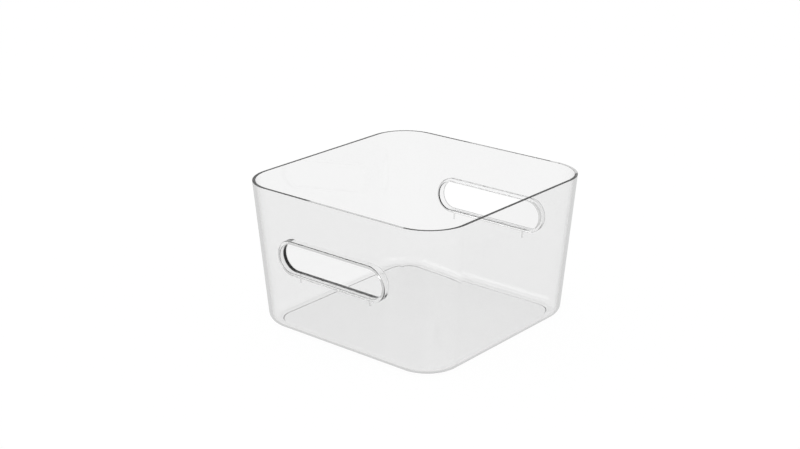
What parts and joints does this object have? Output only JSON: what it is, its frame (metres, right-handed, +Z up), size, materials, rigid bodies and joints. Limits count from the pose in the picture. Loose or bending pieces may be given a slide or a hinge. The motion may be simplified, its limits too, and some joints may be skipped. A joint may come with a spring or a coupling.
{
  "type": "storage box",
  "caption": "Open clear-plastic storage box with tapered walls, rounded corners and a rimmed hand opening in each of two opposite walls.",
  "frame": {"origin": "middle of the underside, on the surface that the box stands on", "axes": "+Z up towards the open top; the walls with the hand openings face -Y (front) and +Y (back); the plain walls face -X and +X"},
  "size_m": [0.2, 0.2048, 0.118],
  "materials": {
    "tub_plastic": "clear, polished, colourless moulded plastic",
    "rim_plastic": "clear, polished, colourless moulded plastic, the same as the tub"
  },
  "bodies": {
    "root": {"box_body": "tub_plastic", "handle_rim_front": "rim_plastic", "handle_rim_back": "rim_plastic"}
  },
  "joints": []
}
